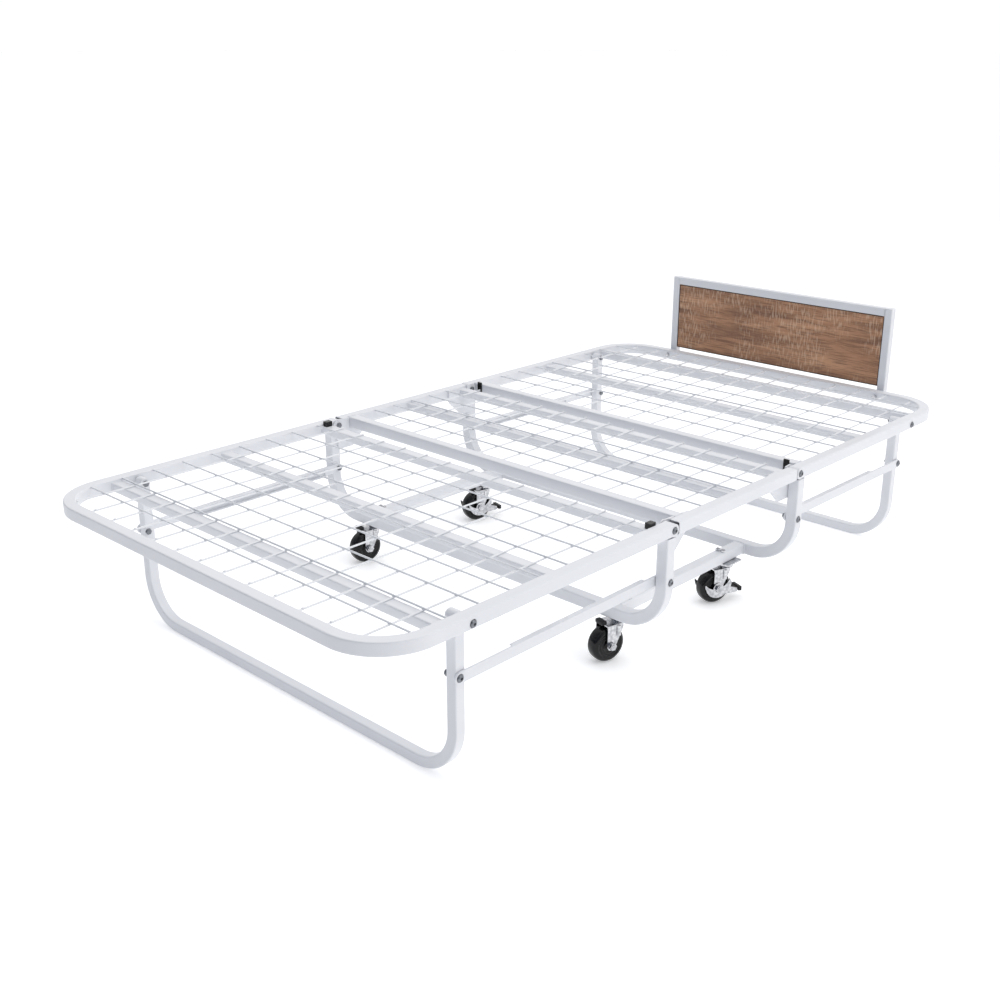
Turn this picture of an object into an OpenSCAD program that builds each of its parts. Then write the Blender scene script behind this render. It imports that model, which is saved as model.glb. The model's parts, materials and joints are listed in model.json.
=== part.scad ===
// Folding cot on a fixed centre base: three wire-mesh deck panels, two folding
// end panels with swinging legs on parallel links, swivel casters, headboard.
// Millimetres, +Z up, foot end at -X, head end at +X, floor at Z = 0.

/* [Deck] */
// Deck length over the two end rails
deck_l = 1832; // [1500:1:2200]
// Deck width over the side rails
deck_w = 990; // [750:1:1200]
// Height of the deck top above the floor
deck_h = 320; // [280:1:400]
// Outer radius of the bent deck corners
corner_r = 115; // [60:1:200]
// Length of the folding foot panel, foot rail to hinge pin
foot_l = 723; // [600:1:850]
// Length of the folding head panel, head rail to hinge pin
head_l = 670; // [560:1:800]

/* [Tubes] */
// Outside size of the square frame tube
tube = 25; // [22:1:30]
// Wall thickness of every tube
wall = 1.5; // [1:0.1:2.5]
// Outside corner radius of every tube
tube_r = 3; // [1.5:0.5:4]
// Outside size of the square tube of the end legs
leg_tube = 22; // [18:1:25]
// Outer bend radius at the foot of every leg frame
leg_r = 100; // [60:1:140]

/* [Mesh] */
// Diameter of the mesh wires
wire_d = 3.5; // [2.5:0.1:5]
// Pitch of the lengthwise wires
wire_pitch = 70; // [50:1:100]
// Number of lengthwise wires
wire_count = 13; // [7:2:17]
// Largest pitch of the crosswise wires
wire_step = 74; // [50:1:100]

/* [Folding linkage] */
// Distance from each deck end to the pivot of its end leg, foot end
foot_leg_x = 198; // [150:1:260]
// Distance from each deck end to the pivot of its end leg, head end
head_leg_x = 176; // [150:1:260]
// Drop from a pivot to its link bolt
link_drop = 103; // [90:1:120]
// Offset of the link bolt away from the middle of the bed
link_side = 5; // [2:1:8]
// Width of the link bars
link_w = 20; // [16:1:24]
// Thickness of the flat ends of the link bars
link_t = 4; // [3:0.5:5]
// Depth of the channel part of the link bars
link_depth = 11; // [8:1:14]
// Diameter of the pivot bolts
pin_d = 8; // [6:1:10]
// Radial clearance of every turning fit
fit = 0.05; // [0.03:0.01:0.1]

/* [Casters] */
// Overall height of a caster
caster_h = 94; // [90:1:110]
// Wheel diameter
wheel_d = 75; // [65:1:80]
// Wheel width
wheel_w = 30; // [24:1:32]
// Trail, kingpin to axle
trail = 30; // [28:1:42]
// Distance between the centre lines of the two base rails
base_w = 725; // [500:1:800]
// Distance from the centre leg to the kingpins, foot side
caster_in_f = 20; // [18:1:80]
// Distance from the centre leg to the kingpins, head side
caster_in_h = 61; // [18:1:80]
// Rest angle of the near caster at the foot side
toe_1 = -14; // [-40:1:40]
// Rest angle of the far caster at the foot side
toe_2 = -9; // [-40:1:40]
// Rest angle of the near caster at the head side
toe_3 = -22; // [-40:1:40]
// Rest angle of the far caster at the head side
toe_4 = -14; // [-40:1:40]

/* [Headboard] */
// Width of the headboard
board_w = 660; // [500:1:760]
// Height of the headboard above the deck
board_up = 206; // [150:1:300]
// Tube size of the headboard frame
board_tube = 20; // [16:1:25]
// Thickness of the wooden panel
board_t = 14; // [10:1:18]

/* [Bumpers] */
// Length of a bumper that stands on a foot cross bar
bumper_l = 16; // [8:1:24]
// Width of a bumper across the bed
bumper_w = 13; // [8:1:18]
// Thickness of a bumper on the face of a head cross bar
bumper_t = 3; // [2:0.5:6]
// How far the bumpers stand above the deck
bumper_rise = 5; // [1:0.5:8]

/* [Hidden] */
$fn = 48;
eps = 0.01;
gap = 0.3;
weld = 0.4;
bar_h = tube - 2 * wire_d + weld;

// Bolts and nuts
head_r = pin_d * 0.85;
head_t = 3.2;
nut_r = pin_d * 0.8;
nut_t = pin_d * 0.6;
pin_r = pin_d / 2;

// Lengthwise stations, measured from the middle of the whole bed
board_bolt_t = 2.6;
board_bolt_r = 3;
total_l = deck_l + board_tube + board_bolt_t;
x_foot = -total_l / 2;
x_head = x_foot + deck_l;
x_hinge_f = x_foot + foot_l;
x_hinge_h = x_head - head_l;
x_pivot_f = x_foot + foot_leg_x;
x_pivot_h = x_head - head_leg_x;

// Heights
z_top = deck_h;
z_rail = deck_h - tube / 2;
z_bar = deck_h - tube + bar_h / 2;
z_pivot = deck_h - leg_tube / 2 - wire_d - weld - 0.6;
z_link_base = z_rail - link_drop;
z_link_leg = z_pivot - link_drop;
z_base = caster_h;

// Crosswise stations of the near side, as distances from the middle
y_out = deck_w / 2;
y_in = y_out - tube;
y_plate_out = y_in - 1.3;
plate_t = 3.2;
y_link_out = y_in - 0.5;
y_leg_out = y_link_out - link_t - 1;
y_leg_in = y_leg_out - leg_tube;

// Hinge ends: a middle rail stops just clear of the round end of a folding rail
rail_gap = 2;
mid_lo = x_hinge_f + tube / 2 + rail_gap;
mid_hi = x_hinge_h - tube / 2 - rail_gap;

// Centre legs stand under the hinges, a little outward of them
leg_out = 7.5;
x_cleg_f = x_hinge_f - leg_out;
x_cleg_h = x_hinge_h + leg_out;
cleg_gap = 1.5;
z_cleg_top = deck_h - tube - cleg_gap;

// Hinge plates: outline in X and Z about the pin, for the foot side
hinge_eye = 14;
hinge_clear = 15.5;
hinge_points = [[-10, -9], [-2, -54], [3, -58], [40, -58], [76, -24], [80, -18], [80, 10],
                [0, 13.5], [-10, 6]];
bar_play = 0.2;
washer_out = 11;

// Cross bars: distance of each bar centre from its own reference
bar_a = corner_r + 37;
bar_b = 415;
bar_c = foot_l - 33.5;
bar_d = mid_lo + 31;
bar_e = (mid_lo + mid_hi) / 2 + 14;
bar_f = mid_hi - 14;
bar_g = x_hinge_h + 29;
bar_h_x = x_head - 0.545 * head_l;
bar_i = x_head - corner_r - tube / 2;

// Mesh
mesh_margin = 1.2;
z_wire_lo = deck_h - wire_d * 1.5 + weld;
z_wire_hi = deck_h - wire_d / 2;

// Casters
wheel_r = wheel_d / 2;
x_king_f = x_cleg_f + caster_in_f;
x_king_h = x_cleg_h - caster_in_h;
y_king = base_w / 2;
plate_h = 3;
race_h = 3.4;
race_r = 17;
z_race = caster_h - plate_h - race_h;
crown_t = 8.6;
z_crown = z_race - gap - crown_t;
king_r = 5;
axle_r = 5;
sleeve_t = 0.8;
axle_head = 2.6;
axle_nut = 4;
fork_t = 2.5;
fork_in = wheel_w / 2 + 2.5;
fork_eye = 10;
cheek_top = 28;
rib_x = 16;
rib_r = 4.5;
rib_low = 20;
plate_short = 22;
plate_long = 31;
plate_half = 26;
plate_bolt_x = 24;
plate_bolt_y = 6.5;
plate_bolt_r = 3;
plate_head_r = 5;
plate_head_t = 2.4;
plate_shank = 1.6;
plate_nut_r = 5.6;
plate_nut_t = 4.6;
bolt_play = 0.1;
king_foot = 2.6;
lever_t = 2;
lever_gap = 0.6;
lever_boss = 13;

// Wheels: depth of the tread, its round shoulder, and the turned steps of the centre
tread = 9;
tread_c = 4;
boss_out = 1.8;
boss_t = 3.5;
boss_root = 5;
boss_dip = 0.6;
web_dip = 1.4;
groove_dip = 2.2;
groove_out = 4;
groove_in = 2;
lip_dip = 0.8;

// Brake cradle: crescent radii and offsets, joining bar and pedal
cradle_top = [0, 12];
cradle_top_r = 33;
cradle_cut = [-4, 35];
cradle_cut_r = 36;
cradle_in = 3;
arm_back = 20;
brake_bar = 8;
brake_low = 15;
brake_bar_t = 2.5;
arm_drop = 7;
pedal_neck = [12, 20, 6];
pedal_tread = [7, 28, 9];
pedal_lap = 1;
pedal_drop = 1.5;

white = [0.93, 0.94, 0.95];
black = [0.08, 0.08, 0.09];
zinc = [0.72, 0.73, 0.74];
oak = [0.45, 0.33, 0.22];

// ---------- shared shapes ----------

module rounded(a, b, r) {
    square([a - 2 * r, b], center = true);
    square([a, b - 2 * r], center = true);
    for (x = [-1, 1])
        for (y = [-1, 1])
            translate([x * (a / 2 - r), y * (b / 2 - r)])
                circle(r);
}

module ring(a, b) {
    difference() {
        rounded(a, b, tube_r);
        rounded(a - 2 * wall, b - 2 * wall, tube_r - wall + 0.3);
    }
}

// Straight tube along X from x0 to x1, a wide in Y and b high in Z
module tube_x(x0, x1, a, b) {
    translate([x0, 0, 0])
        rotate([90, 0, 90])
            linear_extrude(x1 - x0)
                ring(a, b);
}

// Straight tube along Y between -half and +half, a wide in X and b high in Z
module tube_y(half, a, b) {
    rotate([90, 0, 0])
        linear_extrude(2 * half, center = true)
            ring(a, b);
}

// Bent U of square tube in the XY plane: base at x = 0, arms to x = arm
module u_tube(width, arm, rb, s) {
    translate([s / 2, 0, 0])
        tube_y(width / 2 - rb, s, s);
    for (m = [0, 1])
        mirror([0, m, 0]) {
            translate([rb, width / 2 - rb, 0])
                rotate([0, 0, 90])
                    rotate_extrude(angle = 90)
                        translate([rb - s / 2, 0])
                            ring(s, s);
            translate([0, width / 2 - s / 2, 0])
                tube_x(rb, arm, s, s);
        }
}

// Round bar along Y between y0 and y1
module rod_y(r, y0, y1) {
    translate([0, y0, 0])
        rotate([-90, 0, 0])
            cylinder(r = r, h = y1 - y0);
}

module rod_x(r, x0, x1) {
    translate([x0, 0, 0])
        rotate([0, 90, 0])
            cylinder(r = r, h = x1 - x0);
}

// The same thing at the near side and mirrored to the far side
module both_sides() {
    for (m = [0, 1])
        mirror([0, m, 0])
            children();
}

// Bolt along Y for the near side: domed head outside y0, nut inside y1
module bolt_y(y0, y1) {
    rod_y(pin_r, y0 - eps, y1 + nut_t + 1.5);
    translate([0, y0, 0])
        rotate([90, 0, 0])
            cylinder(r1 = head_r, r2 = head_r * 0.6, h = head_t);
    translate([0, y1, 0])
        rotate([-90, 0, 0])
            cylinder(r = nut_r, h = nut_t, $fn = 6);
    rod_y(nut_r * 1.15, y1, y1 + 1);
}

// ---------- centre base ----------

module centre_leg(x, side) {
    drop = z_cleg_top - z_base;
    difference() {
        union() {
            translate([x, 0, z_base])
                rotate([0, -90, 0])
                    u_tube(deck_w, drop, leg_r, tube);
            for (m = [0, 1])
                mirror([0, m, 0])
                    translate([x, y_out - tube / 2, z_cleg_top - wall])
                        linear_extrude(wall)
                            rounded(tube, tube, tube_r);
        }
        both_sides()
            translate([x + side * (leg_out - link_side), 0, z_link_base])
                rod_y(pin_r + fit, -y_out - 1, -y_in + 1);
    }
}

module centre_leg_foot() color(white) centre_leg(x_cleg_f, 1);

module centre_leg_head() color(white) centre_leg(x_cleg_h, -1);

module base_rails() {
    color(white)
        difference() {
            both_sides()
                translate([0, -y_king, z_base + tube / 2])
                    tube_x(x_cleg_f + tube / 2, x_cleg_h - tube / 2, tube, tube);
            both_sides()
                caster_bolt_places()
                    cylinder(r = plate_bolt_r + 0.1, h = 4 * tube, center = true);
        }
}

module caster_bolt_places() {
    for (x = [x_king_f + plate_bolt_x, x_king_h - plate_bolt_x])
        for (y = [-plate_bolt_y, plate_bolt_y])
            translate([x, y - y_king, z_base])
                children();
}

module middle_rails() {
    color(white)
        both_sides()
            translate([0, -y_out + tube / 2, z_rail])
                tube_x(mid_lo, mid_hi, tube, tube);
}

module middle_bars() {
    color(white) {
        translate([bar_d, 0, z_rail])
            tube_y(y_in, tube, tube);
        for (x = [bar_e, bar_f])
            translate([x, 0, z_bar])
                tube_y(y_in, tube, bar_h);
    }
}

// Wire mesh between x0 and x1; crosswise wires between s0 and s1
module mesh(x0, x1, s0, s1) {
    n = ceil((s1 - s0) / wire_step);
    for (i = [0 : wire_count - 1]) {
        y = (i - (wire_count - 1) / 2) * wire_pitch;
        lo = x0 + corner_in(abs(y), x0 - x_foot - tube);
        hi = x1 - corner_in(abs(y), x_head - tube - x1);
        translate([0, y, z_wire_lo])
            rod_x(wire_d / 2, lo, hi);
    }
    for (k = [0 : n]) {
        x = s0 + k * (s1 - s0) / n;
        half = cross_half(min(x - x_foot, x_head - x));
        translate([x, 0, z_wire_hi])
            rod_y(wire_d / 2, -half, half);
    }
}

// How far a lengthwise wire stops short of the end rail inside a bent corner
function corner_in(y, off) =
    off > 1 || y < deck_w / 2 - corner_r ? 0 :
    corner_r - tube - sqrt(pow(corner_r - tube, 2) - pow(y - deck_w / 2 + corner_r, 2)) + mesh_margin;

// Half length of a crosswise wire at a distance d from the end of the deck
function cross_half(d) =
    d > corner_r ? y_in :
    deck_w / 2 - corner_r + sqrt(pow(corner_r - tube, 2) - pow(corner_r - d, 2)) - mesh_margin;

module middle_mesh() {
    color(white)
        mesh(bar_d + tube / 2, bar_f + tube / 2 - 2, bar_d + tube / 2 + wire_step * 0.8,
             bar_f - tube / 2 - wire_step * 0.6);
}

// Hinge plate outline in X and Z about the hinge pin, for the foot side
module plate_outline() {
    circle(hinge_eye);
    polygon(hinge_points);
}

// One hinge plate; bar_x is the distance from the pin to the cross bar it clears
module hinge_plate(bar_x) {
    difference() {
        union() {
            translate([0, -y_plate_out, 0])
                rotate([90, 0, 0])
                    mirror([0, 0, 1])
                        linear_extrude(plate_t)
                            plate_outline();
            translate([0, -y_in, 0])
                rotate([90, 0, 0])
                    mirror([0, 0, 1])
                        linear_extrude(y_in - y_plate_out + eps)
                            weld_outline();
        }
        rod_y(pin_r, -y_plate_out - 1, -y_plate_out + plate_t + 1);
        translate([bar_x - tube / 2 - bar_play, -y_out, -tube / 2 - bar_play])
            cube([tube + 2 * bar_play, y_out, 2 * tube]);
    }
}

// The part of the outline that lies against the centre leg and the middle rail
module weld_outline() {
    difference() {
        plate_outline();
        circle(hinge_clear);
        translate([-2 * tube, -tube / 2 - 1])
            square([2 * tube + tube / 2 + rail_gap, 2 * tube]);
    }
}

module hinge_plates() {
    color(white)
        both_sides()
            for (s = [0, 1])
                translate([s == 0 ? x_hinge_f : x_hinge_h, 0, z_rail])
                    mirror([s, 0, 0])
                        hinge_plate(s == 0 ? bar_d - x_hinge_f : x_hinge_h - bar_f);
}

module hinge_bolts() {
    color(zinc)
        both_sides()
            for (x = [x_hinge_f, x_hinge_h])
                translate([x, 0, z_rail])
                    bolt_y(-y_out - gap, -y_plate_out + plate_t);
}

module hinge_washers() {
    color(black)
        both_sides()
            for (x = [x_hinge_f, x_hinge_h])
                translate([x, 0, z_rail])
                    difference() {
                        rod_y(washer_out, -y_in + gap, -y_plate_out);
                        rod_y(pin_r, -y_in, -y_plate_out + 1);
                    }
}

module base_link_bolts() {
    color(zinc)
        both_sides()
            for (p = [[x_hinge_f - link_side, 0], [x_hinge_h + link_side, 0]])
                translate([p[0], 0, z_link_base])
                    bolt_y(-y_out, -y_link_out + link_t + gap);
}

// ---------- casters ----------

module caster_plates() {
    color(zinc)
        for (x = [x_king_f, x_king_h])
            both_sides()
                translate([x, -y_king, 0]) {
                    s = x == x_king_f ? 1 : -1;
                    difference() {
                        translate([min(-plate_short * s, plate_long * s), -plate_half, z_base - plate_h])
                            cube([plate_short + plate_long, 2 * plate_half, plate_h]);
                        for (y = [-plate_bolt_y, plate_bolt_y])
                            translate([s * plate_bolt_x, y, z_base - plate_h - 1])
                                cylinder(r = plate_bolt_r + bolt_play, h = plate_h + 2);
                    }
                    translate([0, 0, z_race])
                        cylinder(r = race_r, h = race_h + eps);
                    translate([0, 0, z_crown - king_foot])
                        cylinder(r = king_r, h = caster_h - plate_h - z_crown + king_foot);
                    translate([0, 0, z_crown - gap - king_foot])
                        cylinder(r = king_r * 1.7, h = king_foot);
                }
}

module caster_bolts() {
    color(zinc)
        both_sides()
            caster_bolt_places() {
                translate([0, 0, -plate_h - plate_shank])
                    cylinder(r = plate_bolt_r, h = plate_h + plate_shank + tube + 2 * plate_bolt_r);
                translate([0, 0, -plate_h - plate_head_t])
                    cylinder(r = plate_head_r, h = plate_head_t);
                translate([0, 0, tube])
                    cylinder(r = plate_nut_r, h = plate_nut_t, $fn = 6);
            }
}

// Cheek of the fork in X and Z about the kingpin, axle eye at x = -trail
module cheek_outline() {
    lean = 26;
    shoulder = 8;
    top = z_crown + fork_t;
    translate([-trail, wheel_r])
        circle(fork_eye);
    polygon([[-trail - fork_eye, wheel_r],
             [-trail + fork_eye * cos(lean), wheel_r - fork_eye * sin(lean)],
             [-trail + cheek_top, top - shoulder], [-trail + cheek_top, top],
             [-trail - fork_eye, top]]);
}

// Pressed rib down the front of a cheek, half round
module rib() {
    translate([-trail + rib_x, -fork_in - fork_t, wheel_r + rib_low])
        linear_extrude(z_crown - wheel_r - rib_low)
            intersection() {
                circle(rib_r);
                translate([-rib_r, -rib_r])
                    square([2 * rib_r, rib_r + weld]);
            }
}

module cheek() {
    translate([0, -fork_in, 0])
        rotate([90, 0, 0])
            linear_extrude(fork_t)
                cheek_outline();
}

module fork() {
    wide = 2 * fork_in + 2 * fork_t;
    difference() {
        union() {
            both_sides() {
                cheek();
                rib();
            }
            translate([-trail - fork_eye, -wide / 2, z_crown])
                cube([fork_eye + cheek_top, wide, fork_t]);
            translate([0, 0, z_crown])
                cylinder(r = race_r - 1, h = crown_t);
        }
        translate([0, 0, z_crown - 1])
            cylinder(r = king_r + fit, h = crown_t + 2);
        translate([-trail, 0, wheel_r])
            rod_y(axle_r, -wheel_w * 2, wheel_w * 2);
    }
}

module axle() {
    end = fork_in + fork_t + lever_gap + lever_t;
    translate([-trail, 0, wheel_r]) {
        rod_y(axle_r, -end - axle_nut - 1, end + 1);
        both_sides()
            rod_y(axle_r + sleeve_t, -end - gap, -fork_in - fork_t);
        rod_y(axle_r * 1.6, end + gap, end + gap + axle_head);
        translate([0, -end - gap, 0])
            rotate([90, 0, 0])
                cylinder(r = axle_r * 1.6, h = axle_nut, $fn = 6);
    }
}

// Wheel centre of hard rubber with a bored boss, about the axle along Y
module hub() {
    w = wheel_w / 2;
    rim = wheel_r - tread;
    bore = axle_r + fit;
    side = [[axle_r + boss_t, w + boss_out], [axle_r + boss_root, w - boss_dip],
            [rim - boss_root, w - web_dip], [rim - groove_out, w - groove_dip],
            [rim - groove_in, w - groove_dip], [rim, w - lip_dip]];
    translate([-trail, 0, wheel_r])
        rotate([90, 0, 0])
            rotate_extrude($fn = 64)
                polygon(concat([[bore, w + boss_out]], side,
                               [for (k = [len(side) - 1 : -1 : 0]) [side[k][0], -side[k][1]]],
                               [[bore, -w - boss_out]]));
}

// Tread ring with round shoulders
module tyre() {
    w = wheel_w / 2;
    rim = wheel_r - tread;
    translate([-trail, 0, wheel_r])
        rotate([90, 0, 0])
            rotate_extrude($fn = 64) {
                translate([rim, -w])
                    square([tread - tread_c, 2 * w]);
                translate([rim, -w + tread_c])
                    square([tread, 2 * w - 2 * tread_c]);
                for (z = [-w + tread_c, w - tread_c])
                    translate([wheel_r - tread_c, z])
                        circle(tread_c);
            }
}

// Side plate of the brake cradle: a crescent through the axle, in X and Z
module cradle_outline() {
    translate([-trail, wheel_r]) {
        circle(lever_boss);
        intersection() {
            circle(wheel_r - cradle_in);
            difference() {
                translate(cradle_top)
                    circle(cradle_top_r);
                translate(cradle_cut)
                    circle(cradle_cut_r);
            }
        }
    }
}

// Brake cradle: two side plates on the axle, joined by a bar that carries the pedal
module brake() {
    y0 = fork_in + fork_t + lever_gap;
    bar_x = wheel_r - trail + cradle_in;
    z0 = wheel_r - brake_low;
    difference() {
        union() {
            both_sides() {
                translate([0, -y0, 0])
                    rotate([90, 0, 0])
                        linear_extrude(lever_t) {
                            cradle_outline();
                            polygon([[-trail + arm_back, wheel_r + cradle_in],
                                     [bar_x + brake_bar, wheel_r - arm_drop],
                                     [bar_x + brake_bar, z0], [-trail + arm_back, z0 - 1]]);
                        }
            }
            translate([bar_x, -y0 - lever_t, z0])
                cube([brake_bar, 2 * y0 + 2 * lever_t, brake_bar_t]);
        }
        translate([-trail, 0, wheel_r])
            rod_y(axle_r + sleeve_t + fit, -wheel_w * 2, wheel_w * 2);
    }
}

// Black pedal that is pressed on the bar of the cradle
module pedal() {
    bar_x = wheel_r - trail + cradle_in;
    z0 = wheel_r - brake_low;
    translate([bar_x + brake_bar, -pedal_neck[1] / 2, z0 - brake_bar_t])
        cube(pedal_neck);
    translate([bar_x + brake_bar + pedal_neck[0] - pedal_lap, -pedal_tread[1] / 2,
               z0 - brake_bar_t - pedal_drop])
        cube(pedal_tread);
}

module caster_place(k) {
    x = k <= 2 ? x_king_f : x_king_h;
    y = k % 2 == 1 ? -y_king : y_king;
    toe = [toe_1, toe_2, toe_3, toe_4][k - 1];
    translate([x, y, 0])
        rotate([0, 0, toe])
            children();
}

module fork_1() color(zinc) caster_place(1) fork();
module fork_2() color(zinc) caster_place(2) fork();
module fork_3() color(zinc) caster_place(3) fork();
module fork_4() color(zinc) caster_place(4) fork();

module axle_1() color(zinc) caster_place(1) axle();
module axle_2() color(zinc) caster_place(2) axle();
module axle_3() color(zinc) caster_place(3) axle();
module axle_4() color(zinc) caster_place(4) axle();

module hub_1() color(black) caster_place(1) hub();
module hub_2() color(black) caster_place(2) hub();
module hub_3() color(black) caster_place(3) hub();
module hub_4() color(black) caster_place(4) hub();

module tyre_1() color(black) caster_place(1) tyre();
module tyre_2() color(black) caster_place(2) tyre();
module tyre_3() color(black) caster_place(3) tyre();
module tyre_4() color(black) caster_place(4) tyre();

module brake_3() color(zinc) caster_place(3) brake();
module brake_4() color(zinc) caster_place(4) brake();

module pedal_3() color(black) caster_place(3) pedal();
module pedal_4() color(black) caster_place(4) pedal();

// ---------- folding end panels ----------

// Deck frame of an end panel, drawn with its end rail at x = 0 and arms to the hinge
module panel_frame(arm, pivot_x) {
    difference() {
        union() {
            u_tube(deck_w, arm, corner_r, tube);
            both_sides()
                translate([arm, 0, 0])
                    rod_y(tube / 2, -y_out, -y_in);
        }
        both_sides() {
            translate([arm, 0, 0])
                rod_y(pin_r + fit, -y_out - 1, -y_in + 1);
            translate([pivot_x, 0, z_pivot - z_rail])
                rod_y(pin_r + fit, -y_out - 1, -y_in + 1);
        }
    }
}

module foot_frame() {
    color(white)
        translate([x_foot, 0, z_rail])
            panel_frame(foot_l, foot_leg_x);
}

module head_frame() {
    color(white)
        difference() {
            translate([x_head, 0, z_rail])
                mirror([1, 0, 0])
                    panel_frame(head_l, head_leg_x);
            board_bolt_places()
                rod_x(board_bolt_r + 0.1, -tube * 2, tube);
        }
}

module foot_bars() {
    color(white)
        for (d = [bar_a, bar_b, bar_c])
            translate([x_foot + d, 0, z_bar])
                tube_y(y_in, tube, bar_h);
}

module head_bars() {
    color(white) {
        translate([bar_g, 0, z_rail])
            tube_y(y_in, tube, tube);
        for (x = [bar_h_x, bar_i])
            translate([x, 0, z_bar])
                tube_y(y_in, tube, bar_h);
    }
}

module foot_mesh() {
    color(white)
        mesh(x_foot + tube, x_foot + bar_c + tube / 2 - 2, x_foot + 92,
             x_foot + bar_c - tube / 2 - 13);
}

module head_mesh() {
    color(white)
        mesh(bar_g + tube / 2, x_head - tube, bar_g + tube / 2 + wire_step,
             x_head - tube - wire_step * 0.72);
}

// Black bumpers that stand on the ends of the last foot cross bar
module foot_pads() {
    color(black)
        both_sides()
            translate([x_foot + bar_c - bumper_l / 2, -y_in, z_bar + bar_h / 2])
                cube([bumper_l, bumper_w, z_top + bumper_rise - z_bar - bar_h / 2]);
}

// Black bumpers on the hinge side of the first head cross bar
module head_pads() {
    color(black)
        both_sides()
            translate([bar_g - tube / 2 - bumper_t, -y_in + bumper_w, z_top + bumper_rise - tube])
                cube([bumper_t, bumper_w, tube]);
}

// Pivot bolt of an end leg, held in the rail, with its spacer
module leg_bolts(x) {
    both_sides()
        translate([x, 0, z_pivot]) {
            bolt_y(-y_out, -y_leg_in + gap);
            rod_y(pin_r + 4, -y_in, -y_leg_out - gap);
        }
}

module foot_leg_bolts() color(zinc) leg_bolts(x_pivot_f);
module head_leg_bolts() color(zinc) leg_bolts(x_pivot_h);

// ---------- end legs and links ----------

module end_leg(x, side) {
    difference() {
        union() {
            translate([x, 0, 0])
                rotate([0, -90, 0])
                    u_tube(2 * y_leg_out, z_pivot, leg_r, leg_tube);
            both_sides()
                translate([x, 0, z_pivot])
                    rod_y(leg_tube / 2, -y_leg_out, -y_leg_in);
        }
        both_sides() {
            translate([x, 0, z_pivot])
                rod_y(pin_r + fit, -y_leg_out - 1, -y_leg_in + 1);
            translate([x + side * link_side, 0, z_link_leg])
                rod_y(pin_r + fit, -y_leg_out - 1, -y_leg_in + 1);
        }
    }
}

module foot_leg() color(white) end_leg(x_pivot_f, -1);
module head_leg() color(white) end_leg(x_pivot_h, 1);

module leg_link_bolts(x) {
    both_sides()
        translate([x, 0, z_link_leg]) {
            bolt_y(-y_link_out - gap, -y_leg_in);
            rod_y(pin_r + 4, -y_link_out + link_t + gap, -y_leg_out);
        }
}

module foot_link_bolts() color(zinc) leg_link_bolts(x_pivot_f - link_side);
module head_link_bolts() color(zinc) leg_link_bolts(x_pivot_h + link_side);

// Link bar at the near side: flat eyes at both ends, channel between,
// from the leg bolt at the origin to the base bolt at (run, rise)
module link(run, rise) {
    len = sqrt(run * run + rise * rise);
    flat_leg = 126;
    flat_base = 42;
    c = link_w / 2;
    t = 2;
    difference() {
        rotate([0, -atan2(rise, run), 0])
            translate([0, -y_link_out, 0]) {
                rod_y(c, 0, link_t);
                translate([0, 0, -c])
                    cube([flat_leg, link_t, link_w]);
                translate([flat_leg, 0, -c])
                    cube([len - flat_leg - flat_base, t, link_w]);
                for (z = [-c, c - t])
                    translate([flat_leg, 0, z])
                        cube([len - flat_leg - flat_base, link_depth, t]);
                translate([len - flat_base, 0, -c])
                    cube([flat_base, link_t, link_w]);
                translate([len, 0, 0])
                    rod_y(c, 0, link_t);
            }
        rod_y(pin_r + fit, -y_out, -y_leg_in);
        translate([run, 0, rise])
            rod_y(pin_r + fit, -y_out, -y_leg_in);
    }
}

module foot_link() {
    translate([x_pivot_f - link_side, 0, z_link_leg])
        link(x_hinge_f - x_pivot_f, z_link_base - z_link_leg);
}

module head_link() {
    translate([x_pivot_h + link_side, 0, z_link_leg])
        mirror([1, 0, 0])
            link(x_pivot_h - x_hinge_h, z_link_base - z_link_leg);
}

module foot_link_near() color(white) foot_link();
module foot_link_far() color(white) mirror([0, 1, 0]) foot_link();
module head_link_near() color(white) head_link();
module head_link_far() color(white) mirror([0, 1, 0]) head_link();

// ---------- headboard ----------

module board_bolt_places() {
    for (y = [-1, 1])
        translate([x_head, y * (board_w / 2 - board_tube / 2), z_rail])
            children();
}

// Two uprights and a top tube with square welded corners
module headboard_frame() {
    z_low = z_rail - tube / 2;
    z_high = deck_h + board_up;
    color(white)
        translate([x_head + board_tube / 2, 0, 0]) {
            difference() {
                both_sides()
                    translate([0, -board_w / 2 + board_tube / 2, z_low]) {
                        linear_extrude(z_high - z_low)
                            ring(board_tube, board_tube);
                        translate([0, 0, z_high - z_low - wall])
                            linear_extrude(wall)
                                rounded(board_tube, board_tube, tube_r);
                    }
                translate([-x_head - board_tube / 2, 0, 0])
                    board_bolt_places()
                        rod_x(board_bolt_r + 0.1, -tube, tube * 2);
            }
            translate([0, 0, z_high - board_tube / 2])
                tube_y(board_w / 2 - board_tube, board_tube, board_tube);
        }
}

module headboard_panel() {
    low = 8;
    width = board_w - 2 * board_tube;
    color(oak)
        translate([x_head + board_tube / 2 - board_t / 2, -width / 2, deck_h + low])
            cube([board_t, width, board_up - board_tube - low]);
}

module headboard_bolts() {
    color(zinc)
        board_bolt_places() {
            rod_x(board_bolt_r, -tube - 5, board_tube + 1);
            translate([board_tube, 0, 0])
                rotate([0, 90, 0])
                    cylinder(r1 = 6, r2 = 3.6, h = board_bolt_t);
            translate([-tube, 0, 0])
                rotate([0, -90, 0])
                    cylinder(r = 5.6, h = 4.6, $fn = 6);
        }
}

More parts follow.
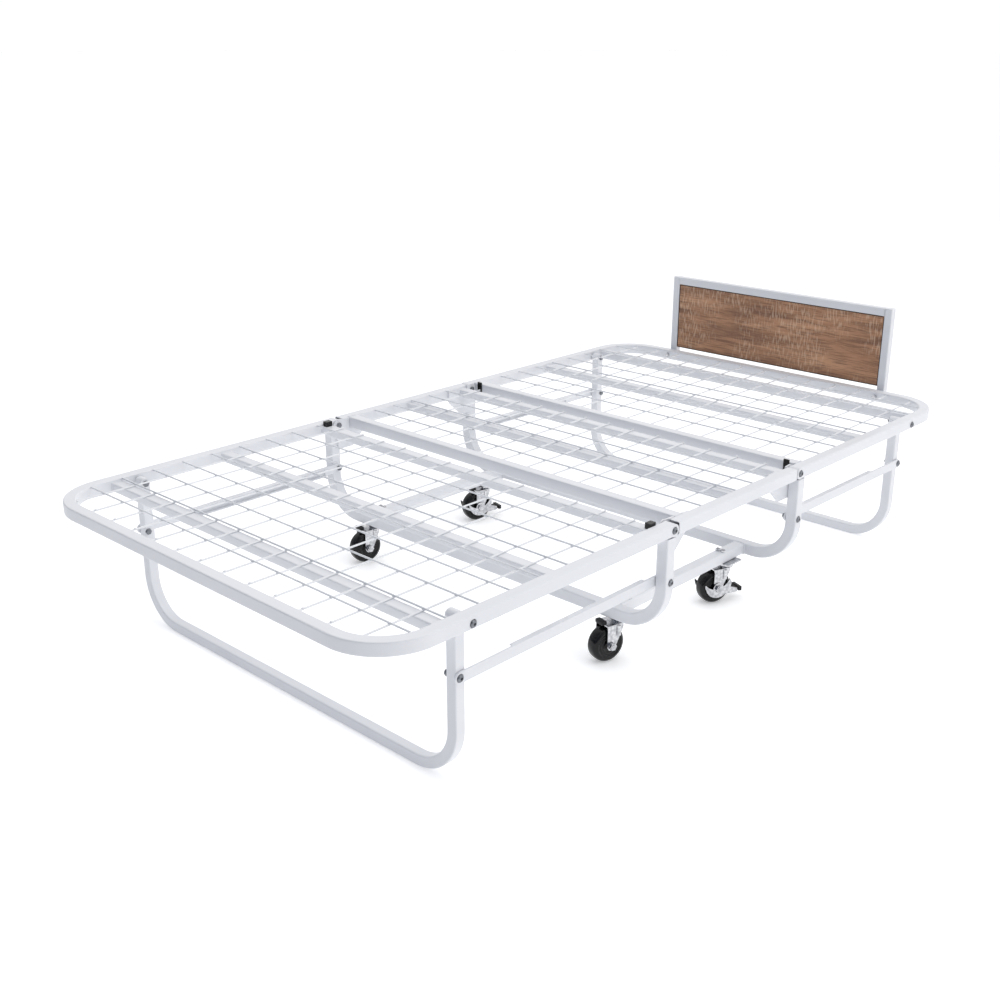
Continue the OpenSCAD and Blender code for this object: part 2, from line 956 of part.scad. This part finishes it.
centre_leg_foot();
centre_leg_head();
base_rails();
middle_rails();
middle_bars();
middle_mesh();
hinge_plates();
hinge_bolts();
hinge_washers();
base_link_bolts();
caster_plates();
caster_bolts();
foot_frame();
foot_bars();
foot_mesh();
foot_pads();
foot_leg_bolts();
foot_leg();
foot_link_bolts();
foot_link_near();
foot_link_far();
head_frame();
head_bars();
head_mesh();
head_pads();
head_leg_bolts();
headboard_frame();
headboard_panel();
headboard_bolts();
head_leg();
head_link_bolts();
head_link_near();
head_link_far();
fork_1();
fork_2();
fork_3();
fork_4();
axle_1();
axle_2();
axle_3();
axle_4();
hub_1();
hub_2();
hub_3();
hub_4();
tyre_1();
tyre_2();
tyre_3();
tyre_4();
brake_3();
brake_4();
pedal_3();
pedal_4();
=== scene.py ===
import json
import math

import bpy
import numpy as np
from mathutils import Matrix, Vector


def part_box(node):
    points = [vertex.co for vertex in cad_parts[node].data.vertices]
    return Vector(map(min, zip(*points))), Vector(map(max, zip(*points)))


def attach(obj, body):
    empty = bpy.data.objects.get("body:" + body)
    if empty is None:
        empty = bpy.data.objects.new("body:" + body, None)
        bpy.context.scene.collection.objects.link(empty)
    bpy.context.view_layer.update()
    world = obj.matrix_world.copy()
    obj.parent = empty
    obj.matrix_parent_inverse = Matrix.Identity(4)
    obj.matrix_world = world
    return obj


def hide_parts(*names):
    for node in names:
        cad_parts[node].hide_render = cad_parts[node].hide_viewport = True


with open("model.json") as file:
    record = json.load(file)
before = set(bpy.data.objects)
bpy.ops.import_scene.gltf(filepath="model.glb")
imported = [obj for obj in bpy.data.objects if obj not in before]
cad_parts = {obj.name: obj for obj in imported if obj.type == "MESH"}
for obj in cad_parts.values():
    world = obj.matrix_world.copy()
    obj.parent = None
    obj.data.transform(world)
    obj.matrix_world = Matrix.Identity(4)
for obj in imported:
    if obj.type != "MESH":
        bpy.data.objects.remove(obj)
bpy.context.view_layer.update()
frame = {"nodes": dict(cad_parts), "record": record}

nodes = frame["nodes"]

# ---- Camera ----
# Eye height beyond the near foot corner, looking down, with a short telephoto lens and neither
# roll nor shift.
eye = Vector((-1.9706, -1.7319, 1.1594))
heading, dip = math.radians(43.552), math.radians(20.373)
lens_mm, sensor_mm = 45.09, 36.0

camera = bpy.data.objects.new("camera", bpy.data.cameras.new("camera"))
camera.data.lens, camera.data.sensor_width = lens_mm, sensor_mm
camera.data.clip_start, camera.data.clip_end = 0.05, 100.0
camera.location = eye
gaze = Vector((math.cos(heading) * math.cos(dip), math.sin(heading) * math.cos(dip), -math.sin(dip)))
camera.rotation_mode = "QUATERNION"
camera.rotation_quaternion = gaze.to_track_quat("-Z", "Y")
bpy.context.collection.objects.link(camera)
bpy.context.scene.camera = camera

# ---- Studio: paper floor and soft boxes ----
# Seamless white paper under the bed, a wide soft box overhead, a second one at the near side.
# The room fades from white at the head end to a blue grey at the foot end, so faces turned to
# the foot end read cool.
paper_half = 90.0
lift = 0.30           # the paper is lit from below by this share of white, as a light table is
overhead_watts = 44.0
near_side_watts = 10.0
room_strength = 1.02


def linear(code):
    """An sRGB hex colour as linear RGBA: c / 12.92 when dark, else ((c + 0.055) / 1.055)
    to the power 2.4."""
    c = np.array([int(code[i:i + 2], 16) for i in (1, 3, 5)]) / 255
    c = np.where(c <= 0.04045, c / 12.92, ((c + 0.055) / 1.055) ** 2.4)
    return (*c.tolist(), 1.0)


def add_node(tree, kind, links=(), values=(), **settings):
    """Adds one node: settings are its own options, values its socket values, and links the
    sockets that feed its inputs."""
    node = tree.nodes.new(kind)
    for key, value in settings.items():
        setattr(node, key, value)
    for key, value in dict(values).items():
        node.inputs[key].default_value = value
    for key, source in dict(links).items():
        tree.links.new(source, node.inputs[key])
    return node


def start_material(name):
    """An empty node material: gives the material, its tree and the Object coordinates of the piece."""
    material = bpy.data.materials.new(name)
    material.use_nodes = True
    material.node_tree.nodes.clear()
    tree = material.node_tree
    return material, tree, add_node(tree, "ShaderNodeTexCoord").outputs["Object"]


def close_material(tree, shader):
    """Sends a shader to the surface output."""
    add_node(tree, "ShaderNodeOutputMaterial", {"Surface": shader.outputs[0]})


paper, tree, place = start_material("white_studio_paper")
mottle = add_node(tree, "ShaderNodeTexNoise", {"Vector": place}, {"Scale": 0.7, "Detail": 2.0})
tone = add_node(tree, "ShaderNodeMix", {"Factor": mottle.outputs["Fac"]},
                {6: linear("#F6F6F7"), 7: linear("#FAFAFA")}, data_type="RGBA")
matt = add_node(tree, "ShaderNodeBsdfPrincipled", {"Base Color": tone.outputs[2]},
                {"Roughness": 0.9, "Specular IOR Level": 0.0, "Emission Color": linear("#FFFFFF"),
                 "Emission Strength": lift})
close_material(tree, matt)

floor_mesh = bpy.data.meshes.new("paper_floor")
corners = np.array([[-1, -1, 0], [1, -1, 0], [1, 1, 0], [-1, 1, 0]]) * paper_half
floor_mesh.from_pydata(corners.tolist(), [], [[0, 1, 2, 3]])
floor_mesh.materials.append(paper)
floor = bpy.data.objects.new("paper_floor", floor_mesh)
bpy.context.collection.objects.link(floor)


def soft_box(name, place, aim, size, watts):
    """A square area light of a size in metres at a place, turned towards a point."""
    light = bpy.data.lights.new(name, "AREA")
    light.shape, light.size, light.energy = "SQUARE", size, watts
    light.color = (1.0, 0.99, 0.975)
    holder = bpy.data.objects.new(name, light)
    holder.location = place
    holder.rotation_mode = "QUATERNION"
    holder.rotation_quaternion = (Vector(aim) - Vector(place)).to_track_quat("-Z", "Y")
    bpy.context.collection.objects.link(holder)


soft_box("soft_box_overhead", (0.3, -0.6, 3.6), (0.0, 0.0, 0.0), 3.4, overhead_watts)
soft_box("soft_box_near_side", (0.9, -3.6, 1.5), (0.0, 0.0, 0.3), 2.6, near_side_watts)

room = bpy.data.worlds.new("room")
room.use_nodes = True
tree = room.node_tree
glow = tree.nodes["Background"]
outward = add_node(tree, "ShaderNodeTexCoord").outputs["Generated"]
towards = add_node(tree, "ShaderNodeSeparateXYZ", {0: outward})
open_side = add_node(tree, "ShaderNodeMapRange", {"Value": towards.outputs["X"]},
                     {"From Min": -0.9, "From Max": 0.25}, interpolation_type="SMOOTHSTEP")
wall = add_node(tree, "ShaderNodeMix", {"Factor": open_side.outputs["Result"]},
                {6: linear("#666E7E"), 7: linear("#FFFFFF")}, data_type="RGBA")
tree.links.new(wall.outputs[2], glow.inputs["Color"])
glow.inputs["Strength"].default_value = room_strength
bpy.context.scene.world = room
bpy.context.scene.view_settings.view_transform = "Standard"

# ---- Centre base and all square tubes ----
# Welded square steel tube, powder coated white after welding and baked: a satin skin with a
# faint orange peel, which changes slowly between two near whites along a tube.
peel = 0.006        # real orange peel is about 1.5 mm, drawn coarse so that it shows
cloud = 0.22        # length of the slow change of tone and gloss along a tube


def powder_coat(name, light, shade):
    """Satin powder coat: paint between two near whites by slow noise, with an orange peel bump."""
    material, tree, place = start_material(name)
    slow = add_node(tree, "ShaderNodeTexNoise", {"Vector": place}, {"Scale": 1 / cloud, "Detail": 3.0})
    fine = add_node(tree, "ShaderNodeTexNoise", {"Vector": place}, {"Scale": 1 / peel, "Detail": 2.0})
    tone = add_node(tree, "ShaderNodeMix", {"Factor": slow.outputs["Fac"]},
                    {6: linear(light), 7: linear(shade)}, data_type="RGBA")
    gloss = add_node(tree, "ShaderNodeMapRange", {"Value": slow.outputs["Fac"]},
                     {"From Min": 0.3, "From Max": 0.7, "To Min": 0.32, "To Max": 0.44})
    skin = add_node(tree, "ShaderNodeBump", {"Height": fine.outputs["Fac"]},
                    {"Strength": 0.12, "Distance": 0.0006})
    coat = add_node(tree, "ShaderNodeBsdfPrincipled",
                    {"Base Color": tone.outputs[2], "Roughness": gloss.outputs["Result"],
                     "Normal": skin.outputs["Normal"]}, {"IOR": 1.5})
    close_material(tree, coat)
    return material


def dress(material, *names):
    """Gives CAD nodes a material in every slot they have."""
    for name in names:
        node = nodes[name]
        if not node.material_slots:
            node.data.materials.append(material)
        for holder in node.material_slots:
            holder.material = material


white_coat = powder_coat("satin_white_powder_coat", "#E2E3E7", "#D8DADF")
dress(white_coat, "centre_leg_foot", "centre_leg_head", "base_rails", "middle_rails", "middle_bars",
      "hinge_plates", "foot_frame", "foot_bars", "head_frame", "head_bars", "foot_leg", "head_leg",
      "foot_link_near", "foot_link_far", "head_link_near", "head_link_far", "headboard_frame")

# ---- Weld beads at the tube ends ----
# Every cross tube is welded round its end to the rail it meets, and the two base rails to the
# centre legs. The bead is a rippled fillet about 4 mm wide under the same powder coat.
bead_r = 0.0021
ripple_pitch = 0.0032
ripple_share = 0.14     # a ripple swells the bead by this share of its radius
bead_sides = 8          # points round the bead's own section
tube_corner = 0.003
tubes_apart = 0.03      # tubes and bolts that lie further apart than this are separate ones


def points_of(name):
    """All vertices of a CAD node as rows of x, y, z in metres."""
    mesh = nodes[name].data
    flat = np.empty(len(mesh.vertices) * 3)
    mesh.vertices.foreach_get("co", flat)
    return flat.reshape(-1, 3)


def groups(values, apart):
    """Lowest and highest value of each group, where groups lie more than a distance apart."""
    v = np.unique(np.round(values, 6))
    cut = np.flatnonzero(np.diff(v) > apart)
    return list(zip(v[np.r_[0, cut + 1]], v[np.r_[cut, len(v) - 1]]))


def grid_faces(rows, columns):
    """Four-cornered faces of a grid whose columns run round and close on themselves."""
    i, j = np.meshgrid(np.arange(rows - 1), np.arange(columns), indexing="ij")
    k = (j + 1) % columns
    quads = np.stack([i * columns + j, i * columns + k, (i + 1) * columns + k, (i + 1) * columns + j], -1)
    return quads.reshape(-1, 4)


def ring_faces(rows, columns):
    """Faces of a grid that closes on itself both ways, as a small circle carried round a loop does."""
    j = np.arange(columns)
    k = (j + 1) % columns
    start = (rows - 1) * columns
    return np.concatenate([grid_faces(rows, columns), np.stack([start + j, start + k, k, j], -1)])


def add_piece(name, parts, material, body, smooth=True):
    """Joins (points, faces) parts into one mesh object at the origin that rides on a body."""
    points, faces, count = [], [], 0
    for p, f in parts:
        points.append(p)
        faces += (f + count).tolist()
        count += len(p)
    mesh = bpy.data.meshes.new(name)
    mesh.from_pydata(np.concatenate(points).tolist(), [], faces)
    mesh.materials.append(material)
    mesh.polygons.foreach_set("use_smooth", [smooth] * len(mesh.polygons))
    mesh.validate()
    mesh.update()
    piece = bpy.data.objects.new(name, mesh)
    bpy.context.collection.objects.link(piece)
    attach(piece, body)
    return piece


def frame_path(half_a, half_b, corner, count):
    """Points evenly along a rounded rectangle: four quarter circles joined by straight sides."""
    t = np.linspace(0, 2 * np.pi, 65)[:-1] + np.pi / 64
    a = np.sign(np.cos(t)) * (half_a - corner) + corner * np.cos(t)
    b = np.sign(np.sin(t)) * (half_b - corner) + corner * np.sin(t)
    a, b = np.r_[a, a[0]], np.r_[b, b[0]]
    s = np.r_[0, np.cumsum(np.hypot(np.diff(a), np.diff(b)))]
    at = np.linspace(0, s[-1], count, endpoint=False)
    return np.interp(at, s, a), np.interp(at, s, b), at


def weld_bead(centre, half_a, half_b, across):
    """A small circle carried round a rounded rectangle, its radius swelling once every ripple.
    across is the tube's own axis, 0 for X and 1 for Y; the other two axes hold the rectangle."""
    count = int(8 * (half_a + half_b) / ripple_pitch)
    a, b, s = frame_path(half_a, half_b, tube_corner, count)
    v = np.linspace(0, 2 * np.pi, bead_sides, endpoint=False)
    r = bead_r * (1 + ripple_share * np.cos(2 * np.pi * s / ripple_pitch))[:, None]
    push = 1 + r * np.cos(v)[None] / np.hypot(a, b)[:, None]
    other, side = (a[:, None] * push, b[:, None] * push), r * np.sin(v)[None]
    order = [side, other[0], other[1]] if across == 0 else [other[0], side, other[1]]
    p = np.stack(order, -1).reshape(-1, 3) + centre
    faces = ring_faces(count, bead_sides)
    return p, faces if across == 1 else faces[:, ::-1]


def cross_tube_beads(name):
    """Beads at both ends of every cross tube of a node."""
    low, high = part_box(name)
    points, beads = points_of(name), []
    for x0, x1 in groups(points[:, 0], tubes_apart):
        z = points[(points[:, 0] > x0 - 1e-4) & (points[:, 0] < x1 + 1e-4), 2]
        middle = ((x0 + x1) / 2, (z.min() + z.max()) / 2)
        for y in (low[1], high[1]):
            beads.append(weld_bead((middle[0], y, middle[1]), (x1 - x0) / 2, np.ptp(z) / 2, 1))
    return beads


for name, body in (("middle_bars", "base"), ("foot_bars", "foot_panel"), ("head_bars", "head_panel")):
    add_piece(name + "_welds", cross_tube_beads(name), white_coat, body)

rail_low, rail_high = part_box("base_rails")
rail_points = points_of("base_rails")
rail_beads = [weld_bead((x, (y0 + y1) / 2, (rail_low[2] + rail_high[2]) / 2), (y1 - y0) / 2,
                        (rail_high[2] - rail_low[2]) / 2, 0)
              for x in (rail_low[0], rail_high[0]) for y0, y1 in groups(rail_points[:, 1], tubes_apart)]
add_piece("base_rail_welds", rail_beads, white_coat, "base")

# ---- Wire mesh ----
# Drawn steel wire laid in two layers and spot welded at each crossing, coated with the frame.
# Its coat is drawn a shade lighter than the frame's: a painted lift for the light on the thin wires.
# The weld squeezes a low collar of metal out round each crossing.
collar_r = 0.0034
collar_h = 0.0011
wire_r = 0.00175
wires_apart = 0.010     # neighbouring wires lie further apart than this
near_wire = 0.004       # a point nearer than this to a wire's middle belongs to it
collar_rings = 5
collar_sides = 8

# Painted light: the same white coat as the frame, made a shade lighter so the thin wires read as lit.
lifted_wire_coat = powder_coat("white_wire_coat_with_painted_lift", "#E6E8EB", "#DCDEE2")
dress(lifted_wire_coat, "middle_mesh", "foot_mesh", "head_mesh")


def crossing_collars(name):
    """A flattened ball of radius collar_r and half height collar_h at each crossing of two wires."""
    points = points_of(name)
    split = points[:, 2].max() - 2 * wire_r
    lower, upper = points[points[:, 2] < split], points[points[:, 2] > split + 2e-4]
    lengthwise = [((a + b) / 2, lower[np.abs(lower[:, 1] - (a + b) / 2) < near_wire, 0])
                  for a, b in groups(lower[:, 1], wires_apart)]
    crosswise = [((a + b) / 2, upper[np.abs(upper[:, 0] - (a + b) / 2) < near_wire, 1])
                 for a, b in groups(upper[:, 0], wires_apart)]
    u, v = np.meshgrid(np.linspace(0, np.pi, collar_rings),
                       np.linspace(0, 2 * np.pi, collar_sides, endpoint=False), indexing="ij")
    ball = np.stack([collar_r * np.sin(u) * np.cos(v), collar_r * np.sin(u) * np.sin(v),
                     collar_h * np.cos(u)], -1).reshape(-1, 3)
    faces = grid_faces(collar_rings, collar_sides)[:, ::-1]
    return [(ball + (x, y, split + wire_r * 0.1), faces)
            for y, run in lengthwise for x, span in crosswise
            if run.min() < x < run.max() and span.min() < y < span.max()]


for name, body in (("middle_mesh", "base"), ("foot_mesh", "foot_panel"), ("head_mesh", "head_panel")):
    add_piece(name + "_spot_welds", crossing_collars(name), lifted_wire_coat, body)

# ---- Bolts, washers and hinge spacers ----
# Zinc-plated button-head bolts with a hexagon socket, a flat washer under the head, a hexagon
# lock nut and a few turns of thread inside. Plating leaves a faint crystalline change of tone.
crystal = 0.0065   # the crystals are about 1 mm across, drawn coarse so that they show


def zinc_plate(name, light, shade, rough):
    """Zinc plate: two greys mixed by fine cells, with a roughness that follows a haze of noise."""
    material, tree, place = start_material(name)
    cell = add_node(tree, "ShaderNodeTexVoronoi", {"Vector": place}, {"Scale": 1 / crystal})
    haze = add_node(tree, "ShaderNodeTexNoise", {"Vector": place}, {"Scale": 90.0, "Detail": 4.0})
    grey = add_node(tree, "ShaderNodeMix", {"Factor": cell.outputs["Distance"]},
                    {6: linear(light), 7: linear(shade)}, data_type="RGBA")
    gloss = add_node(tree, "ShaderNodeMapRange", {"Value": haze.outputs["Fac"]},
                     {"From Min": 0.3, "From Max": 0.7, "To Min": rough - 0.07, "To Max": rough + 0.09})
    plate = add_node(tree, "ShaderNodeBsdfPrincipled",
                     {"Base Color": grey.outputs[2], "Roughness": gloss.outputs["Result"]},
                     {"Metallic": 1.0})
    close_material(tree, plate)
    return material


bright_zinc = zinc_plate("bright_zinc_plate", "#DCDCDE", "#A2A4A8", 0.17)
dull_zinc = zinc_plate("dull_zinc_bolt", "#8E9196", "#6E7176", 0.34)
dress(bright_zinc, "caster_plates", "caster_bolts", "headboard_bolts", "fork_1", "fork_2", "fork_3",
      "fork_4", "axle_1", "axle_2", "axle_3", "axle_4", "brake_3", "brake_4")

head_r = 0.0066
head_t = 0.0032
socket_r = 0.0027
socket_t = 0.0018
socket_rim = 1.15       # the dome starts at this many socket radii
washer_r = 0.0078
washer_t = 0.0008
nut_r = 0.0066
nut_t = 0.0048
shank_r = 0.004
thread_pitch = 0.00125
thread_depth = 0.0004
thread_out = 0.0015     # the shank stands out of the nut by this much
centre_r = 1e-5         # closes a turned end without a true point


def turned(stations, count=36):
    """A bar turned about an axis: each station is (along, radius, six-sided or not). A six-sided
    radius is the flat distance over the cosine of the angle to the nearest flat."""
    v = np.linspace(0, 2 * np.pi, count, endpoint=False)
    flat = np.cos(np.pi / 6) / np.cos(np.mod(v, np.pi / 3) - np.pi / 6)
    along, radius, six = np.array(stations, float).T
    r = radius[:, None] * np.where(six[:, None] > 0, flat[None], 1.0)
    p = np.stack([r * np.cos(v), np.repeat(along[:, None], count, 1), r * np.sin(v)], -1).reshape(-1, 3)
    return p, grid_faces(len(stations), count)


def bolt_stations(length):
    """Stations from the socket floor out over the domed head, washer, shank, nut and threads."""
    rim = socket_r * socket_rim
    dome = [(-head_t * np.cos(a), rim + (head_r - rim) * np.sin(a), 0)
            for a in np.linspace(0.15, np.pi / 2, 7)]
    inner = length - thread_out
    nut = [(inner - nut_t, nut_r * 0.86, 0), (inner - nut_t + 0.0004, nut_r, 1),
           (inner - 0.0008, nut_r, 1), (inner - 0.0002, nut_r * 0.8, 0), (inner, shank_r + 0.0003, 0)]
    turns = np.arange(inner, length, thread_pitch / 2)
    thread = [(t, shank_r - thread_depth * (i % 2), 0) for i, t in enumerate(turns)]
    socket = [(-head_t + socket_t, centre_r, 0), (-head_t + socket_t, socket_r, 1),
              (-head_t, socket_r, 1)]
    washer = [(0.0, head_r, 0), (0.0, washer_r - 0.0003, 0), (washer_t * 0.5, washer_r, 0),
              (washer_t, washer_r - 0.0002, 0), (washer_t, shank_r, 0)]
    tip = [(length, shank_r - 0.0006, 0), (length, centre_r, 0)]
    return socket + dome + washer + nut + thread + tip


def side_bolts(name, body):
    """Bolts across the bed in place of a CAD node: one for each group of its points in x and y."""
    points, parts = points_of(name), []
    for x0, x1 in groups(points[:, 0], tubes_apart):
        here = points[(points[:, 0] > x0 - 1e-4) & (points[:, 0] < x1 + 1e-4)]
        z = (here[:, 2].min() + here[:, 2].max()) / 2
        for y0, y1 in groups(here[:, 1], tubes_apart):
            out = 1 if y0 < 0 else -1
            start, end = (y0, y1) if out > 0 else (y1, y0)
            p, f = turned(bolt_stations(abs(end - start) - head_t))
            p = p * (1, out, 1) + ((x0 + x1) / 2, start + out * head_t, z)
            parts.append((p, f[:, ::-1] if out > 0 else f))
    piece = add_piece(name + "_turned", parts, dull_zinc, body, smooth=False)
    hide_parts(name)


for name, body in (("hinge_bolts", "base"), ("base_link_bolts", "base"), ("foot_leg_bolts", "foot_panel"),
                   ("head_leg_bolts", "head_panel"), ("foot_link_bolts", "foot_leg"),
                   ("head_link_bolts", "head_leg")):
    side_bolts(name, body)


def moulded_black(name, light, shade, grain, low, high, bump):
    """Dark rubber, nylon or edging: two near tones mixed by noise, with a fine moulded grain."""
    material, tree, place = start_material(name)
    noise = add_node(tree, "ShaderNodeTexNoise", {"Vector": place}, {"Scale": 1 / grain, "Detail": 5.0})
    tone = add_node(tree, "ShaderNodeMix", {"Factor": noise.outputs["Fac"]},
                    {6: linear(light), 7: linear(shade)}, data_type="RGBA")
    gloss = add_node(tree, "ShaderNodeMapRange", {"Value": noise.outputs["Fac"]},
                     {"From Min": 0.35, "From Max": 0.65, "To Min": low, "To Max": high})
    skin = add_node(tree, "ShaderNodeBump", {"Height": noise.outputs["Fac"]},
                    {"Strength": bump, "Distance": 0.0003})
    body = add_node(tree, "ShaderNodeBsdfPrincipled",
                    {"Base Color": tone.outputs[2], "Roughness": gloss.outputs["Result"],
                     "Normal": skin.outputs["Normal"]}, {"IOR": 1.52, "Specular IOR Level": 0.28})
    close_material(tree, body)
    return material


nylon = moulded_black("black_nylon", "#0E0E10", "#1A1A1C", 0.003, 0.36, 0.50, 0.12)
hard_rubber = moulded_black("black_hard_rubber", "#09090A", "#111113", 0.012, 0.15, 0.24, 0.05)
dress(nylon, "hinge_washers", "pedal_3", "pedal_4")
dress(hard_rubber, "foot_pads", "head_pads")

# ---- Casters ----
# A pressed zinc fork turns under a bolted top plate. A solid wheel of moulded hard rubber with a
# domed side and faint mould rings runs on a bolt. A black nylon block over the back of the fork
# crown is painted shade: it stands in for the shade on the back of the crown plate.
wheel_r = 0.0375
wheel_half = 0.015
boss_half = 0.0168
dish_start = 0.011      # the dish runs from the boss out to the shoulder
dish_run = 0.0158
shoulder_w = 0.0095
shoulder_r = 0.0100
# The black block at the back of each fork crown is painted shade, not a part of the caster.
crown_shade_size = (0.012, 0.026, 0.0085)
crown_shade_centre = (-0.0125, 0, 0.0480)


def wheel_stations():
    """Profile of the wheel: boss, shallow dish with three rings, crown of the side, round shoulder."""
    dish = np.linspace(dish_start, dish_start + dish_run, 19)
    share = (dish - dish_start) / dish_run
    swell = 0.0012 * np.sin(share * np.pi)
    rings = 0.00045 * np.cos(share * 6 * np.pi)
    side = wheel_half - 0.0016 + swell + rings
    turn = np.linspace(0, np.pi / 2, 12)
    shoulder = [(wheel_half - shoulder_w + shoulder_w * np.cos(a),
                 wheel_r - 0.0102 + shoulder_r * np.sin(a)) for a in turn]
    half = [(boss_half, 0.00506), (boss_half, 0.0082), (boss_half - 0.0004, 0.0088),
            (wheel_half - 0.0016, 0.0098)] + list(zip(side, dish)) + shoulder + [(0.004, wheel_r)]
    full = [(-w, r, 0) for w, r in half] + [(w, r, 0) for w, r in half[::-1]]
    return full + [(full[0][0], full[0][1], 0)]


def placed(p, joint):
    """Points about the Y axis turned so that Y lies along a joint's axis, then moved to its place."""
    x, y = joint["axis"][0], joint["axis"][1]
    turn = np.array([[y, x, 0], [-x, y, 0], [0, 0, 1]])
    return p @ turn.T + np.array(joint["pos_m"])


joints = {j["name"]: j for j in frame["record"]["behaviour"]["joints"]}


def squared(wave, power):
    """A cosine or sine made squarer: its sign times its size to the power 2 / power."""
    return np.sign(wave) * np.abs(wave) ** (2 / power)


def rounded_block(size, middle, power=6, rows=15, columns=32):
    """A block with swelling sides about a middle: a superellipsoid of two angles."""
    u, v = np.meshgrid(np.linspace(-np.pi / 2, np.pi / 2, rows),
                       np.linspace(-np.pi, np.pi, columns, endpoint=False), indexing="ij")
    ring = squared(np.cos(u), power)
    p = np.stack([ring * squared(np.cos(v), power), ring * squared(np.sin(v), power),
                  squared(np.sin(u), power)], -1)
    return p.reshape(-1, 3) * (np.array(size) / 2) + middle, grid_faces(rows, columns)


for k in (1, 2, 3, 4):
    spin = joints["wheel_spin_%d" % k]
    p, f = turned(wheel_stations(), 72)
    wheel = add_piece("wheel_%d" % k, [(placed(p, spin), f[:, ::-1])], hard_rubber, "wheel_%d" % k)
    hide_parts("hub_%d" % k, "tyre_%d" % k)
    # Painted shade: a black block where the back of the fork crown lies in shade.
    p, f = rounded_block(crown_shade_size, crown_shade_centre)
    add_piece("crown_shade_block_%d" % k, [(placed(p, spin), f)], nylon, "swivel_%d" % k)

# ---- Headboard ----
# A particle-board panel faced with printed oak laminate, set in a welded square-tube frame and
# edged with a dark band. The print shows long grain across the bed and short cross saw marks.
band_high = 0.030    # one growth band across the grain
fibre_high = 0.0028  # fibres are finer than 1 mm, drawn coarse so that they show
saw_pitch = 0.0040   # one saw tooth mark, drawn coarse so that it shows
patch_wide = 0.110   # a patch of board where the saw bit deeper

laminate, tree, place = start_material("rough_sawn_oak_laminate")
along = add_node(tree, "ShaderNodeMapping", {"Vector": place}, {"Scale": (1.0, 0.10, 1.0)})
wave = add_node(tree, "ShaderNodeTexNoise", {"Vector": along.outputs[0]},
                {"Scale": 1 / band_high, "Detail": 5.0, "Roughness": 0.66, "Distortion": 0.35})
thread = add_node(tree, "ShaderNodeMapping", {"Vector": place}, {"Scale": (1.0, 0.05, 1.0)})
fibre = add_node(tree, "ShaderNodeTexNoise", {"Vector": thread.outputs[0]},
                 {"Scale": 1 / fibre_high, "Detail": 2.0, "Roughness": 0.6})
sawn = add_node(tree, "ShaderNodeMapping", {"Vector": place}, {"Scale": (1.0, 1.0, 0.22)})
saw = add_node(tree, "ShaderNodeTexNoise", {"Vector": sawn.outputs[0]},
               {"Scale": 1 / saw_pitch, "Detail": 0.0})
patch = add_node(tree, "ShaderNodeTexNoise", {"Vector": place}, {"Scale": 1 / patch_wide, "Detail": 3.0})
growth = add_node(tree, "ShaderNodeValToRGB", {"Fac": wave.outputs["Fac"]})
ramp = growth.color_ramp
ramp.elements[0].position, ramp.elements[0].color = 0.34, linear("#7A563F")
ramp.elements[1].position, ramp.elements[1].color = 0.66, linear("#C49470")
middle = ramp.elements.new(0.50)
middle.color = linear("#A87A5A")
fibre_on = add_node(tree, "ShaderNodeMapRange", {"Value": fibre.outputs["Fac"]},
                    {"From Min": 0.48, "From Max": 0.64, "To Min": 0.0, "To Max": 0.62})
dark = add_node(tree, "ShaderNodeMix", {"Factor": fibre_on.outputs["Result"], 6: growth.outputs["Color"]},
                {7: linear("#6E4E3C")}, data_type="RGBA")
saw_on = add_node(tree, "ShaderNodeMapRange", {"Value": saw.outputs["Fac"]},
                  {"From Min": 0.50, "From Max": 0.66, "To Min": 0.0, "To Max": 0.42})
patch_on = add_node(tree, "ShaderNodeMapRange", {"Value": patch.outputs["Fac"]},
                    {"From Min": 0.46, "From Max": 0.58, "To Min": 0.05, "To Max": 1.0})
mark = add_node(tree, "ShaderNodeMath", {0: saw_on.outputs["Result"], 1: patch_on.outputs["Result"]},
                operation="MULTIPLY")
face = add_node(tree, "ShaderNodeMix", {"Factor": mark.outputs[0], 6: dark.outputs[2]},
                {7: linear("#DCBFA3")}, data_type="RGBA")
relief = add_node(tree, "ShaderNodeBump", {"Height": fibre.outputs["Fac"]},
                  {"Strength": 0.2, "Distance": 0.0003})
board = add_node(tree, "ShaderNodeBsdfPrincipled",
                 {"Base Color": face.outputs[2], "Normal": relief.outputs["Normal"]},
                 {"Roughness": 0.5, "IOR": 1.5})
close_material(tree, board)
dress(laminate, "headboard_panel")

panel_low, panel_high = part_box("headboard_panel")
edge_band = moulded_black("dark_edge_band", "#2E2420", "#3C302A", 0.01, 0.45, 0.55, 0.05)
band_r = 0.0012
band_corner = 0.002
half_w = (panel_high[1] - panel_low[1]) / 2 - band_r
half_h = (panel_high[2] - panel_low[2]) / 2 - band_r
middle_y = (panel_low[1] + panel_high[1]) / 2
middle_z = (panel_low[2] + panel_high[2]) / 2


def edge_loop(x):
    """A small circle carried round the rim of the panel at one face."""
    count = 240
    v = np.linspace(0, 2 * np.pi, bead_sides, endpoint=False)
    a, b, _ = frame_path(half_w, half_h, band_corner, count)
    push = np.stack([np.sign(a) * (np.abs(a) > half_w - band_corner),
                     np.sign(b) * (np.abs(b) > half_h - band_corner)], -1)
    push = push / np.maximum(np.hypot(push[:, 0], push[:, 1]), 1)[:, None]
    y = a[:, None] + band_r * np.cos(v) * push[:, :1]
    z = b[:, None] + band_r * np.cos(v) * push[:, 1:]
    out = np.broadcast_to(x + band_r * 0.8 * np.sin(v), y.shape)
    p = np.stack([out, middle_y + y, middle_z + z], -1)
    return p.reshape(-1, 3), ring_faces(count, bead_sides)[:, ::-1]


edge_loops = [edge_loop(panel_low[0]), edge_loop(panel_high[0])]
add_piece("panel_edge_band", edge_loops, edge_band, "head_panel")
